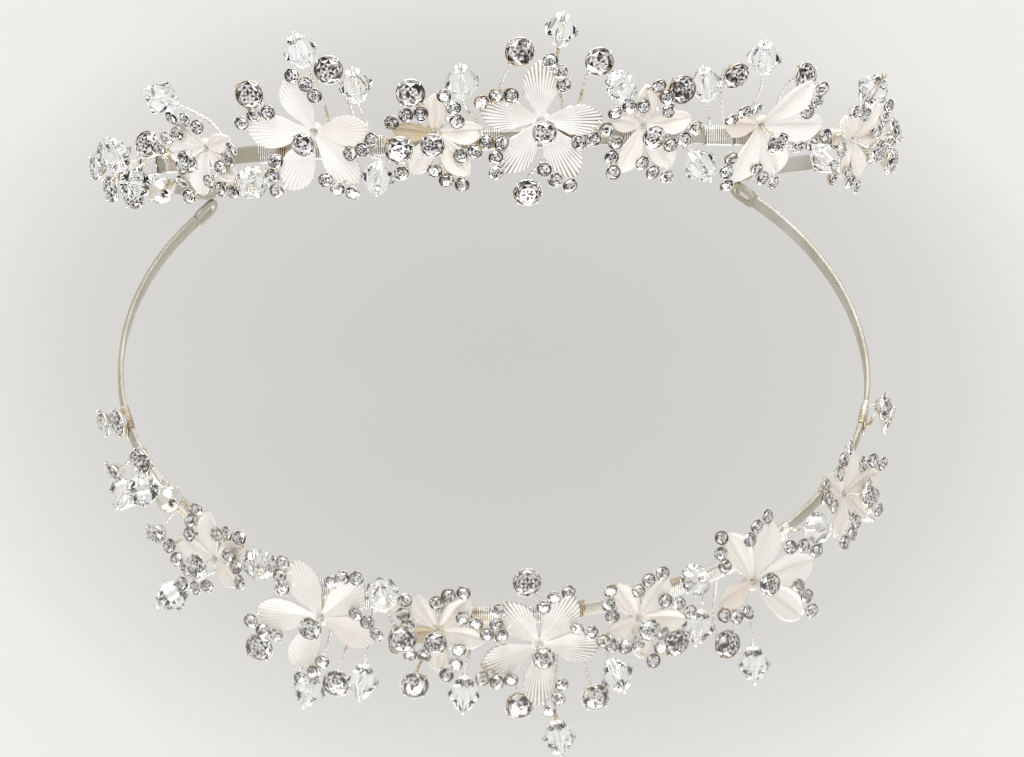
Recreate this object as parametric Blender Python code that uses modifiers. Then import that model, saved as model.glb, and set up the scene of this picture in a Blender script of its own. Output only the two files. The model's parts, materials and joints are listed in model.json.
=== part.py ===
"""A bridal tiara: a silver headband that carries wired cast flowers, chatons and spinning glass beads.

Metres, +Z up, -Y to the front, +X to the right as seen from the front. The origin is the middle of
the opening that the head fills. The band lies in a plane that is raised at the front by TILT degrees,
as it is worn. A place on the band is an angle in degrees from its front, positive to the right.
Every other place is given as (angle, distance out from the band in mm, height over it in mm).
"""
import math

import bmesh
import bpy
from mathutils import Matrix, Vector

MM = 0.001
TILT = 25.0                    # degrees, how far the front of the band is raised

# headband: a flat strip bent to half an ellipse in front and the start of a deeper one behind
BAND_HALF_WIDTH = 71.0 * MM
BAND_FRONT_DEPTH = 60.0 * MM
BAND_BACK_DEPTH = 66.0 * MM
BAND_END = 130.0               # degrees, where the strip ends on each side
BAND_HEIGHT = 3.0 * MM
BAND_THICKNESS = 1.0 * MM
BAND_STEP = 5.0                # degrees between two points of the strip
EYELET_LENGTH = 7.0 * MM       # the flattened loop at each end, for a hair grip
EYELET_HEIGHT = 4.2 * MM
EYELET_HOLE = (3.6 * MM, 1.4 * MM)
EYELET_STEPS = 6

# silver wire
WIRE = 0.25 * MM               # radius where it is wound round the band or runs through a bead
STEM = 0.35 * MM               # radius where two strands are twisted into a stem
GAP = 0.3 * MM                 # clearance between two pieces that touch
COIL_TURNS = 1                 # whole turns beyond the part turn that joins the two ends
COIL_PITCH = 0.85 * MM
STEM_STEPS = 4
STEM_HANDLE = 0.4              # length of a stem's Bezier handles, as a share of its reach
SOFT_RISE = 1.2                # rise over reach above which a stem leaves straight up
SOFT_FALL = -0.6               # and below which it leaves downwards
FALL_LEAN = 0.3                # how much a falling stem leans out of the band
STEM_BEND = 0.5                # how much a long stem comes in from below rather than along its end
STEEP_RISE = 7 * MM            # a stem also leaves straight up if its end is higher than this

# stones and beads
CHATON = 5.3 * MM
CENTRE_CHATON = 4.4 * MM
END_CHATON = 4.9 * MM
BEAD_RADIUS = 3.2 * MM
BEAD_END_RADIUS = 1.3 * MM
BEAD_LENGTH = 5.8 * MM
BEAD_SIDES = 8
BEAD_STOP = 0.65 * MM          # radius of the knot on each side of a bead
BEAD_STOP_LENGTH = 0.6 * MM
BEAD_STOP_TAPER = 0.1 * MM
STONE_SIDES = 8
# a cup from the stem to its rim, as shares of the stone: (distance to the rim, radius)
CUP_FOOT = 0.44
CUP_PROFILE = ((-0.34, 0.2), (0, 0.5))
# a stone, as shares of its size: (radius, height over the rim)
STONE_TABLE = (0.28, 0.22)
STONE_GIRDLE = (0.48, 0.08)
SET_STONE_PROFILE = ((0.04, 0.47), (0.17, 0.28))   # a stone that is one with its cup: (height, radius)

# flowers
PETAL_CONE = 7.5               # degrees, how far the petals lean forward
PETAL_SHEET = 0.7 * MM
THROAT_HOLE = 0.8 * MM
HEART = 2.2 * MM               # radius of the middle where the petals join
STAMEN = 6.0 * MM              # throat to the centre stone
STAMEN_ROOT = 1.6 * MM         # how far behind the throat it starts
BUD_RADIUS = 1.35 * MM         # one of the three small cups on the edge of each petal
BUD_DEPTH = 1.6 * MM
BUD_SIDES = 5
BUD_TAPER = 0.8                # radius of a cup's foot, as a share of its rim
BUD_STRUT = 0.4 * MM           # radius of the strut that carries a cup
BUD_STRUT_END = 0.86           # the farthest along a petal that a strut starts
# the cups of a petal, from the tip inwards: (mm past the tip, mm clockwise from the petal's middle line)
BUD_SPOTS = ((0.4, 1.7), (-1.9, 3.4), (-4.5, 4.0))

# how a petal widens along its length: (share of the length, half width as a share of the length)
PETAL_OUTLINE = ((0.34, 0.17), (0.60, 0.25), (0.86, 0.16), (1.0, 0.03))
PETAL_CLEARANCE = 3.0          # degrees kept free beside the line between two petals
PETAL_CUP = 0.10               # how deep a petal is hollowed, as a share of its half width

# name: (angle, out, height) of the throat, degrees that the flower looks down from square to the band,
# and the (angle, length in mm) of each petal, clockwise
FLOWERS = {
    "flower_1": (-48.5, 3.4, 1.6, 25.5, ((180, 8.3), (129, 7.5), (14, 7.0), (-49, 8.6), (-116, 9.3))),
    "flower_2": (-29.5, 4.5, 2.8, 25.5, ((171, 12.2), (102, 11.4), (2, 11.2), (-54, 12.0), (-123, 12.2))),
    "flower_3": (-12.4, 3.2, 1.4, 25.5, ((168, 7.4), (85, 7.6), (3, 8.7), (-55, 9.4), (-124, 8.4))),
    "flower_4": (2.0, 5.0, 2.8, 25.5, ((164, 11.4), (92, 11.8), (3, 11.0), (-58, 12.0), (-125, 11.3))),
    "flower_5": (16.8, 3.2, 1.6, 25.5, ((167, 6.5), (93, 7.8), (12, 8.7), (-52, 9.5), (-115, 9.1))),
    "flower_6": (35.3, 4.6, 1.6, 38.0, ((175, 9.0), (58, 12.0), (6, 12.6), (-53, 11.7), (-104, 11.6))),
    "flower_7": (57.5, 3.2, -0.3, 25.5, ((150, 8.5), (68, 8.5), (14, 9.8), (-54, 8.6), (-120, 8.6))),
}

# name: (angle, out, height, swing to the side, rise) of the stone's middle and the way that it looks
CHATONS = {
    "chaton_1": (-36.7, 10.8, 9.7, 8, -20),
    "chaton_2": (-25.5, 10.3, 13.1, 10, -22),
    "chaton_3": (-14.7, 11.4, 8.0, 5, -22),
    "chaton_4": (-16.8, 8.8, -1.6, 10, -35),
    "chaton_5": (-0.7, 9.6, 14.7, 0, -22),
    "chaton_6": (9.3, 11.1, 12.4, 0, -22),
    "chaton_7": (0.2, 0.5, -9.6, 0, -35),
    "chaton_8": (21.8, 6.6, 7.6, 0, -20),
    "chaton_9": (28.9, 9.4, 9.8, 0, -40),
    "chaton_10": (42.5, 7.2, 10.0, 0, -10),
}
END_CHATONS = {
    "left_1": (-83.0, 4.3, 1.3, 15, 0),
    "left_2": (-79.0, 2.6, -3.2, 15, -10),
    "left_3": (-73.5, 5.3, 3.4, 20, 15),
    "left_4": (-68.0, 3.0, -5.4, 20, -20),
    "left_5": (-59.0, 6.3, 3.2, 22, 5),
    "left_6": (-58.0, 3.4, -5.6, 18, -10),
    "right_1": (78.0, 4.6, 2.6, -10, 15),
    "right_2": (76.0, 3.8, -3.4, -10, -20),
}
# name: (angle, out, height, swing, rise) of the bead's middle and the way that its stem runs through
BEADS = {
    "bead_1": (-63.5, 5.4, -3.6, -30, 10),
    "bead_2": (-68.0, 6.2, 2.0, 0, 60),
    "bead_3": (-52.5, 9.6, 10.8, -20, 22),
    "bead_4": (-39.6, 4.6, -5.4, 30, -25),
    "bead_5": (-29.2, 10.6, 16.8, -15, 55),
    "bead_6": (-21.8, 11.0, 9.9, 0, 55),
    "bead_7": (-20.8, 2.8, -5.9, 0, -60),
    "bead_8": (-8.2, 11.0, 9.6, -2, 50),
    "bead_9": (4.1, 15.2, 17.8, 5, 50),
    "bead_10": (12.2, 10.3, 8.0, 10, 15),
    "bead_11": (25.0, 4.4, -5.8, 20, -50),
    "bead_12": (26.5, 4.0, 8.8, -40, 55),
    "bead_13": (31.2, 14.0, 12.6, -25, 50),
    "bead_14": (46.6, 6.4, -4.4, 10, -40),
    "bead_15": (63.0, 5.0, 8.8, 5, 50),
}

# name of a wire: (angle of its coil, first end, second end)
WIRES = {
    "flower_wire_1": (-48.5, "flower_1", "bead_3"),
    "flower_wire_2": (-29.5, "flower_2", "bead_5"),
    "flower_wire_3": (-12.4, "flower_3", "chaton_3"),
    "flower_wire_4": (2.0, "flower_4", "chaton_7"),
    "flower_wire_5": (16.8, "flower_5", "bead_10"),
    "flower_wire_6": (35.3, "flower_6", "bead_13"),
    "flower_wire_7": (57.5, "flower_7", "bead_15"),
    "spray_wire_1": (-81.0, "left_1", "left_2"),
    "spray_wire_2": (-71.5, "left_3", "left_4"),
    "spray_wire_3": (-66.0, "bead_2", "bead_1"),
    "spray_wire_4": (-58.5, "left_5", "left_6"),
    "spray_wire_5": (-38.0, "chaton_1", "bead_4"),
    "spray_wire_6": (-23.5, "chaton_2", "bead_6"),
    "spray_wire_7": (-21.5, "bead_7", "chaton_4"),
    "spray_wire_8": (-5.5, "bead_8", "chaton_5"),
    "spray_wire_9": (7.0, "bead_9", "chaton_6"),
    "spray_wire_10": (22.5, "chaton_8", "bead_11"),
    "spray_wire_11": (30.0, "bead_12", "chaton_9"),
    "spray_wire_12": (42.5, "chaton_10", "bead_14"),
    "spray_wire_13": (74.0, "right_1", "right_2"),
}


def clear_scene():
    for obj in list(bpy.data.objects):
        bpy.data.objects.remove(obj)


def new_collection(name):
    collection = bpy.data.collections.new(name)
    bpy.context.scene.collection.children.link(collection)
    return collection


def metal(name, colour, roughness):
    material = bpy.data.materials.new(name)
    material.use_nodes = True
    shader = material.node_tree.nodes["Principled BSDF"]
    shader.inputs["Base Color"].default_value = (*colour, 1.0)
    shader.inputs["Metallic"].default_value = 1.0
    shader.inputs["Roughness"].default_value = roughness
    return material


def crystal(name, colour, roughness, clearness):
    material = bpy.data.materials.new(name)
    material.use_nodes = True
    shader = material.node_tree.nodes["Principled BSDF"]
    shader.inputs["Base Color"].default_value = (*colour, 1.0)
    shader.inputs["Roughness"].default_value = roughness
    shader.inputs["Transmission Weight"].default_value = clearness
    return material


def pearl(name, colour):
    material = bpy.data.materials.new(name)
    material.use_nodes = True
    shader = material.node_tree.nodes["Principled BSDF"]
    shader.inputs["Base Color"].default_value = (*colour, 1.0)
    shader.inputs["Metallic"].default_value = 0.2
    shader.inputs["Roughness"].default_value = 0.4
    return material


def band_frame(angle):
    """Point on the middle of the strip, the way along it to the right, and the way out of it."""
    turn = math.radians(angle)
    depth = BAND_FRONT_DEPTH if abs(angle) < 90 else BAND_BACK_DEPTH
    point = Vector((BAND_HALF_WIDTH * math.sin(turn), -depth * math.cos(turn), 0))
    along = Vector((BAND_HALF_WIDTH * math.cos(turn), depth * math.sin(turn), 0)).normalized()
    return point, along, Vector((along.y, -along.x, 0))


def place(angle, out, height):
    point, _, outward = band_frame(angle)
    return point + outward * out * MM + Vector((0, 0, height * MM))


def aim(angle, swing, rise):
    """Unit direction out of the band, swung to the right and raised, both in degrees."""
    _, along, outward = band_frame(angle)
    swing = math.radians(swing)
    rise = math.radians(rise)
    level = outward * math.cos(swing) + along * math.sin(swing)
    return level * math.cos(rise) + Vector((0, 0, math.sin(rise)))


def facing(direction, origin):
    """Matrix that puts local +Z along the direction, local +Y as far up as it goes."""
    side = Vector((0, 0, 1)).cross(direction).normalized()
    up = direction.cross(side)
    return Matrix.Translation(origin) @ Matrix((side, up, direction)).transposed().to_4x4()


def add(name, data, material, parent, matrix=None):
    obj = bpy.data.objects.new(name, data)
    PARTS.objects.link(obj)
    obj.parent = parent
    if matrix is not None:
        obj.matrix_basis = matrix
    if material is not None:
        data.materials.append(material)
    return obj


def empty(name, parent, matrix):
    obj = bpy.data.objects.new(name, None)
    obj.empty_display_size = 5 * MM
    PARTS.objects.link(obj)
    obj.parent = parent
    obj.matrix_basis = matrix
    return obj


def curve_mesh(name, curve):
    """Mesh of a curve with its caps welded, for a piece that is cut or joined."""
    holder = bpy.data.objects.new(name, curve)
    bpy.context.scene.collection.objects.link(holder)
    graph = bpy.context.evaluated_depsgraph_get()
    mesh = bpy.data.meshes.new_from_object(holder.evaluated_get(graph))
    bpy.data.objects.remove(holder)
    bm = bmesh.new()
    bm.from_mesh(mesh)
    bmesh.ops.remove_doubles(bm, verts=bm.verts, dist=0.01 * MM)
    bm.to_mesh(mesh)
    bm.free()
    return mesh


def flat_outline(name, outlines, thickness):
    curve = bpy.data.curves.new(name, "CURVE")
    curve.dimensions = "2D"
    curve.fill_mode = "BOTH"
    curve.extrude = thickness / 2
    for points in outlines:
        spline = curve.splines.new("POLY")
        spline.points.add(len(points) - 1)
        spline.use_cyclic_u = True
        for spot, (x, y) in zip(spline.points, points):
            spot.co = (x, y, 0, 1)
    return curve


def stadium(length, height, steps):
    """Outline with round ends, drawn counter-clockwise round the origin."""
    radius = height / 2
    reach = length / 2 - radius
    points = []
    for side, start in ((1, -90), (-1, 90)):
        for step in range(steps + 1):
            turn = math.radians(start + 180 * step / steps)
            points.append((side * reach + radius * math.cos(turn), radius * math.sin(turn)))
    return points


def weld(obj, other):
    """Union with a tool whose own shapes may touch each other."""
    modifier = obj.modifiers.new("weld", "BOOLEAN")
    modifier.operation = "UNION"
    modifier.solver = "EXACT"
    modifier.use_self = True
    modifier.object = other


def hidden_tool(name, mesh, parent, matrix):
    tool = bpy.data.objects.new(name, mesh)
    CUTTERS.objects.link(tool)
    tool.parent = parent
    tool.matrix_basis = matrix
    tool.hide_render = True
    tool.display_type = "WIRE"
    return tool


def make_headband(frame, silver):
    """Strip on edge round the head, with a pierced eyelet welded on each end."""
    angles = []
    angle = -BAND_END
    while angle <= BAND_END:
        angles.append(angle)
        angle += BAND_STEP
    outer = []
    inner = []
    for angle in angles:
        point, _, outward = band_frame(angle)
        outer.append((point + outward * BAND_THICKNESS / 2).to_2d())
        inner.append((point - outward * BAND_THICKNESS / 2).to_2d())
    strip = curve_mesh("strip", flat_outline("strip", [outer + inner[::-1]], BAND_HEIGHT))
    band = add("headband", strip, silver, frame)
    ring = [stadium(EYELET_LENGTH, EYELET_HEIGHT, EYELET_STEPS), stadium(*EYELET_HOLE, EYELET_STEPS)]
    eyelet = curve_mesh("eyelet", flat_outline("eyelet", ring, BAND_THICKNESS))
    for side, name in ((-1, "left_eyelet"), (1, "right_eyelet")):
        point, along, outward = band_frame(side * BAND_END)
        middle = point + along * side * (EYELET_LENGTH / 2 - BAND_THICKNESS)
        turn = Matrix((along, Vector((0, 0, 1)), outward)).transposed().to_4x4()
        weld(band, hidden_tool(name, eyelet, frame, Matrix.Translation(middle) @ turn))


# one turn round the strip as (out, height) in mm; a wire starts and ends its coil at one of these
COIL_SHAPE = ((1.1, -1.3), (1.1, 1.3), (0.7, 2.1), (-0.7, 2.1), (-1.1, 1.3), (-1.1, -1.3), (-0.7, -2.1),
              (0.7, -2.1))
COIL_FRONT_BOTTOM = 0
COIL_FRONT_TOP = 1
COIL_TOP_OUTER = 2
COIL_TOP_INNER = 3
COIL_BOTTOM_OUTER = 7


def coil(angle, first, last):
    """Points of a coil round the strip, from corner `first` of its shape to corner `last`."""
    count = COIL_TURNS * len(COIL_SHAPE) + last - first
    _, along, _ = band_frame(angle)
    points = []
    for step in range(count + 1):
        out, height = COIL_SHAPE[(first + step) % len(COIL_SHAPE)]
        slide = (step / count - 0.5) * COIL_PITCH * count / len(COIL_SHAPE)
        points.append((place(angle, out, height) + along * slide, WIRE))
    return points


def stem(start, leave, end, arrive):
    """Points of a smooth stem that leaves `start` one way and arrives at `end` another way."""
    reach = (end - start).length * STEM_HANDLE
    handle_a = start + leave * reach
    handle_b = end - arrive * reach
    points = []
    for step in range(1, STEM_STEPS):
        t = step / STEM_STEPS
        a = start.lerp(handle_a, t)
        b = handle_a.lerp(handle_b, t)
        c = handle_b.lerp(end, t)
        points.append((a.lerp(b, t).lerp(b.lerp(c, t), t), STEM))
    return points


def cup_end(size):
    """The end of a stem that holds a stone: (distance to the rim, radius)."""
    return [(-CUP_FOOT * size, STEM)] + [(along * size, radius * size) for along, radius in CUP_PROFILE]


def stone_end(size):
    """A cup with its stone set in it for good."""
    return cup_end(size) + [(along * size, radius * size) for along, radius in SET_STONE_PROFILE]


def bead_end():
    """A collar, the thin wire that the bead spins on, and the knot on the far side of it."""
    near = BEAD_LENGTH / 2 + GAP
    flat = near + BEAD_STOP_TAPER
    far = flat + BEAD_STOP_LENGTH
    return [(-far, STEM), (-flat, BEAD_STOP), (-near, WIRE),
            (near, WIRE), (flat, BEAD_STOP), (far, BEAD_STOP), (far + WIRE, WIRE)]


def wire_tip(name):
    """Where a wire ends, the way it points there, and its shape along the last stretch."""
    if name in FLOWERS:
        angle, out, height, drop, _ = FLOWERS[name]
        way = aim(angle, 0, -drop)
        run = [(-STAMEN - STAMEN_ROOT, STEM)] + cup_end(CENTRE_CHATON)
        return place(angle, out, height) + way * STAMEN, way, run
    if name in BEADS:
        angle, out, height, swing, rise = BEADS[name]
        return place(angle, out, height), aim(angle, swing, rise), bead_end()
    if name in CHATONS:
        angle, out, height, swing, rise = CHATONS[name]
        return place(angle, out, height), aim(angle, swing, rise), cup_end(CHATON)
    angle, out, height, swing, rise = END_CHATONS[name]
    return place(angle, out, height), aim(angle, swing, rise), stone_end(END_CHATON)


def arrival(name, way):
    """The way a stem comes in: along the end itself, but from the band's side to a long-stemmed stone."""
    if name not in CHATONS:
        return way
    lift = STEM_BEND * max(-1, min(1, CHATONS[name][2] * MM / STEEP_RISE))
    return (way + Vector((0, 0, lift))).normalized()


def leave_corner(angle, tip, first):
    """The corner of COIL_SHAPE that a stem leaves from, and the way it leaves."""
    point, _, outward = band_frame(angle)
    up = Vector((0, 0, 1))
    rise = (tip - point).z
    reach = (tip - point).dot(outward)
    if rise > SOFT_RISE * reach or rise > STEEP_RISE:
        return (COIL_TOP_INNER if first else COIL_TOP_OUTER), up
    if rise < SOFT_FALL * reach:
        return COIL_BOTTOM_OUTER, (outward * FALL_LEAN - up).normalized()
    return (COIL_FRONT_TOP if first else COIL_FRONT_BOTTOM), outward


def make_wire(name, angle, ends, frame, silver):
    """One wire: a stem and its end, the coil round the band, then the other stem and its end."""
    halves = []
    corners = []
    for index, end in enumerate(ends):
        tip, way, run = wire_tip(end)
        corner, leave = leave_corner(angle, tip, index == 0)
        _, along, _ = band_frame(angle)
        slide = along * COIL_PITCH * COIL_TURNS / 2 * (-1 if index == 0 else 1)
        out, height = COIL_SHAPE[corner]
        start = place(angle, out, height) + slide
        base = tip + way * run[0][0]
        points = stem(start, leave, base, arrival(end, way)) + [(tip + way * s, radius) for s, radius in run]
        halves.append(points)
        corners.append(corner)
    path = halves[0][::-1] + coil(angle, *corners) + halves[1]
    curve = bpy.data.curves.new(name, "CURVE")
    curve.dimensions = "3D"
    curve.bevel_depth = 1.0
    curve.bevel_resolution = 1
    curve.use_fill_caps = True
    spline = curve.splines.new("POLY")
    spline.points.add(len(path) - 1)
    for spot, (point, radius) in zip(spline.points, path):
        spot.co = (*point, 1)
        spot.radius = radius
    add(name, curve, silver, frame)


def turned(name, profile, sides, material, parent, matrix, closed=False):
    """A turned piece: the profile is (radius, height) from the top down its outer side."""
    mesh = bpy.data.meshes.new(name)
    bm = bmesh.new()
    verts = [bm.verts.new((radius, 0, height)) for radius, height in profile]
    for a, b in zip(verts, verts[1:] + verts[:1] if closed else verts[1:]):
        bm.edges.new((a, b))
    bm.to_mesh(mesh)
    bm.free()
    obj = add(name, mesh, material, parent, matrix)
    screw = obj.modifiers.new("turn", "SCREW")
    screw.axis = "Z"
    screw.steps = sides
    screw.render_steps = sides
    screw.use_smooth_shade = False
    screw.use_merge_vertices = True
    screw.merge_threshold = 0.01 * MM
    return obj


def make_stone(name, size, material, parent, matrix):
    """A faceted stone that sits on the rim of its cup."""
    table, top = (share * size for share in STONE_TABLE)
    girdle, brow = (share * size for share in STONE_GIRDLE)
    profile = [(0, top), (table, top), (girdle, brow), (girdle, GAP), (0, GAP)]
    turned(name, profile, STONE_SIDES, material, parent, matrix)


def make_bead(name, material, parent, matrix):
    """A faceted double cone with its bore along local Z."""
    half = BEAD_LENGTH / 2
    bore = WIRE + GAP
    profile = [(BEAD_END_RADIUS, half), (BEAD_RADIUS, 0), (BEAD_END_RADIUS, -half), (bore, -half),
               (bore, half)]
    turned(name, profile, BEAD_SIDES, material, parent, matrix, closed=True)


def petal_sheet(petals):
    """Open surface of a whole flower: a ring round the throat, a heart, then the petals one by one."""
    slope = math.tan(math.radians(PETAL_CONE))
    lengths = {turn % 360: length * MM for turn, length in petals}
    order = sorted(lengths)
    count = len(order)
    bm = bmesh.new()

    def vertex(radius, turn, lift=0.0):
        turn = math.radians(turn)
        return bm.verts.new((radius * math.cos(turn), radius * math.sin(turn), radius * slope + lift))

    valleys = []
    for index, turn in enumerate(order):
        following = order[(index + 1) % count] + (360 if index == count - 1 else 0)
        valleys.append((turn + following) / 2)
    room = [valley - turn - PETAL_CLEARANCE for turn, valley in zip(order, valleys)]
    rings = []
    for radius in (THROAT_HOLE, HEART):
        rings.append([(vertex(radius, turn), vertex(radius, valley))
                      for turn, valley in zip(order, valleys)])
    for index, turn in enumerate(order):
        before = index - 1
        (inner_mid, inner_next), (outer_mid, outer_next) = rings[0][index], rings[1][index]
        inner_prev, outer_prev = rings[0][before][1], rings[1][before][1]
        bm.faces.new((inner_prev, outer_prev, outer_mid, inner_mid))
        bm.faces.new((inner_mid, outer_mid, outer_next, inner_next))
        row = (outer_prev, outer_mid, outer_next)
        length = lengths[turn]
        for share, width in PETAL_OUTLINE:
            reach = share * length
            half = width * length
            spread = math.degrees(math.atan2(half, reach))
            edge = math.hypot(reach, half)
            lift = PETAL_CUP * half
            new_row = (vertex(edge, turn - min(spread, room[before]), lift), vertex(reach, turn),
                       vertex(edge, turn + min(spread, room[index]), lift))
            for side in (0, 1):
                bm.faces.new((row[side], new_row[side], new_row[side + 1], row[side + 1]))
            row = new_row
    return bm


def bud_cups(petals):
    """The small cups beside the outer half of each petal and their struts, as one tool."""
    slope = math.tan(math.radians(PETAL_CONE))
    bm = bmesh.new()
    for way, length in petals:
        petal = Matrix.Rotation(math.radians(way), 4, "Z")
        for past, aside in BUD_SPOTS:
            reach = (length + past) * MM
            across = aside * MM
            height = math.hypot(reach, across) * slope
            bmesh.ops.create_cone(bm, cap_ends=True, segments=BUD_SIDES, radius1=BUD_TAPER * BUD_RADIUS,
                                  radius2=BUD_RADIUS, depth=BUD_DEPTH,
                                  matrix=petal @ Matrix.Translation((reach, -across, height + GAP)))
            foot = min(reach, BUD_STRUT_END * length * MM)
            start = Vector((foot, 0, foot * slope))
            strut = Vector((reach, -across, height)) - start
            turn = strut.to_track_quat("Z", "Y").to_matrix().to_4x4()
            middle = Matrix.Translation(start + strut / 2) @ turn
            bmesh.ops.create_cone(bm, cap_ends=True, segments=4, radius1=BUD_STRUT, radius2=BUD_STRUT,
                                  depth=strut.length, matrix=petal @ middle)
    return bm


def to_mesh(name, bm):
    mesh = bpy.data.meshes.new(name)
    bm.to_mesh(mesh)
    bm.free()
    return mesh


def make_flower(name, frame, pearl_white):
    """Cast flower of five petals with its small cups, pierced for the wire that it is threaded on."""
    angle, out, height, drop, petals = FLOWERS[name]
    matrix = facing(aim(angle, 0, -drop), place(angle, out, height))
    sheet = to_mesh(name, petal_sheet(petals))
    flower = add(name, sheet, pearl_white, frame, matrix)
    thick = flower.modifiers.new("thickness", "SOLIDIFY")
    thick.thickness = PETAL_SHEET
    thick.offset = 0
    cups = to_mesh(name + "_cups", bud_cups(petals))
    weld(flower, hidden_tool(name + "_cups", cups, frame, matrix))


def main():
    silver = metal("silver_plate", (0.72, 0.71, 0.66), 0.35)
    clear_glass = crystal("clear_glass", (0.97, 0.98, 0.98), 0.02, 1.0)
    foiled_glass = crystal("foiled_glass", (0.55, 0.55, 0.58), 0.05, 0.2)
    pearl_white = pearl("pearl_white", (0.92, 0.88, 0.84))
    frame = empty("worn_tilt", None, Matrix.Rotation(-math.radians(TILT), 4, "X"))
    make_headband(frame, silver)
    for name, (angle, first, last) in WIRES.items():
        make_wire(name, angle, (first, last), frame, silver)
    for index, name in enumerate(FLOWERS, 1):
        make_flower(name, frame, pearl_white)
        tip, way, _ = wire_tip(name)
        make_stone(f"centre_stone_{index}", CENTRE_CHATON, foiled_glass, frame, facing(way, tip))
    for name in CHATONS:
        tip, way, _ = wire_tip(name)
        make_stone(name, CHATON, foiled_glass, frame, facing(way, tip))
    for name in BEADS:
        tip, way, _ = wire_tip(name)
        make_bead(name, clear_glass, empty(name + "_axis", frame, facing(way, tip)), Matrix())


clear_scene()
PARTS = new_collection("bridal_tiara")
CUTTERS = new_collection("cutters")
main()
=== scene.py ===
"""Looks of the bridal tiara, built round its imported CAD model. Metres, +Z up, -Y to the front."""
import json
import math
import random

import bmesh
import bpy
from mathutils import Matrix, Vector


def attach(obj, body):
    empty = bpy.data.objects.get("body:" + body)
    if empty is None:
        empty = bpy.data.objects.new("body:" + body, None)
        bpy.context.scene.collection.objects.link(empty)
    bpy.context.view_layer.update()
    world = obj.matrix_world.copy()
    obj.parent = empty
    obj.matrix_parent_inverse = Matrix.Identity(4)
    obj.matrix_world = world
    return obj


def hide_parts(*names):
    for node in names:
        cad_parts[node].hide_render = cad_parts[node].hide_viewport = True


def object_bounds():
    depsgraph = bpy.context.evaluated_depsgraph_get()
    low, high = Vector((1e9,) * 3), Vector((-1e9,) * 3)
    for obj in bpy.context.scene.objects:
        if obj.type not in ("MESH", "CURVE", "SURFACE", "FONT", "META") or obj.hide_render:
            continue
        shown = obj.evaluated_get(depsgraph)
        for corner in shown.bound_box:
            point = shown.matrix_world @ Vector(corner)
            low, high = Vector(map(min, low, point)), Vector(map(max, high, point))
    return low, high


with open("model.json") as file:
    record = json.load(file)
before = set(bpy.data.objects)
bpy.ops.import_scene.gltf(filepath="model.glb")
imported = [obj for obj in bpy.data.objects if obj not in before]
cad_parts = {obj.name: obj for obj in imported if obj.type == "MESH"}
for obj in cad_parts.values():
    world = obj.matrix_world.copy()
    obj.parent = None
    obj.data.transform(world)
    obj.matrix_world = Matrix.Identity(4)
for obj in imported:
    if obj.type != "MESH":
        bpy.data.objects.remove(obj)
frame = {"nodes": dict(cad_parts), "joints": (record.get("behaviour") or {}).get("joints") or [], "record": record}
cad_low, cad_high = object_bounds()

MM = 0.001
RECORD = frame["record"]
BAND_UP = Vector(next(m for m in RECORD["mounts"] if m["name"] == "head")["axis"])
TILT = math.atan2(BAND_UP.y, BAND_UP.z)
WORN = Matrix.Rotation(-TILT, 4, "X")       # from the band's own plane to the frame
FLAT = WORN.inverted()

# headband, as in the CAD model
BAND_HALF_WIDTH = 71.0 * MM
BAND_FRONT_DEPTH = 60.0 * MM
BAND_BACK_DEPTH = 66.0 * MM
BAND_END = 130.0
BAND_HEIGHT = 3.0 * MM
BAND_THICKNESS = 1.0 * MM
EYELET_LENGTH = 7.0 * MM
EYELET_HEIGHT = 4.2 * MM
EYELET_HOLE = (3.6 * MM, 1.4 * MM)
EYELET_BEVEL = 0.2 * MM
EYELET_STEPS = 14                  # in each of an eyelet's two half rounds
STRIP_CORNER = 0.28 * MM           # radius of the strip's edges
STRIP_CORNER_STEPS = 3
STRIP_STEPS = 260

# wire
STRAND = 0.17 * MM                 # radius of one strand
TWIST_PITCH = 1.9 * MM
COIL_TURNS = 14                    # of a winding that has room for all of them
COIL_PITCH = 0.40 * MM
COIL_STEPS = 20                    # in one turn
COIL_PRESS = (1.9, 1.12)           # how far a turn's round is cut flat by the strip: across and up
COIL_REACH = (1.5 * MM, 2.5 * MM)  # a CAD coil stays this near the strip's middle: across and up
STRAND_SIDES = 7
TWIST_STEPS = 9                    # in one pitch
TWIST_STEPS_LEAST = 8              # in a whole stem
TWIST_CLOSENESS = 0.96             # from a stem's middle to a strand's, in strand radii
STEM_SPACING = 2.5 * MM            # between the two stems of a wire where they leave the band
STEM_POINTS = 26
STEM_LEAD = 2.2 * STRAND           # from the strip's middle to where a stem leaves it
STEM_HANDLE = 0.4                  # length of a stem's Bezier handles, as a share of its reach
SOFT_RISE = 1.2                    # rise over reach above which a stem leaves straight up
SOFT_FALL = -0.6                   # and below which it leaves downwards
FALL_LEAN = 0.3                    # how much a falling stem leans out of the band
STEEP_RISE = 7 * MM                # as in the CAD model: where a stem leaves straight up
STEM_BEND = 0.5                    # and how much it comes in from below

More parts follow.
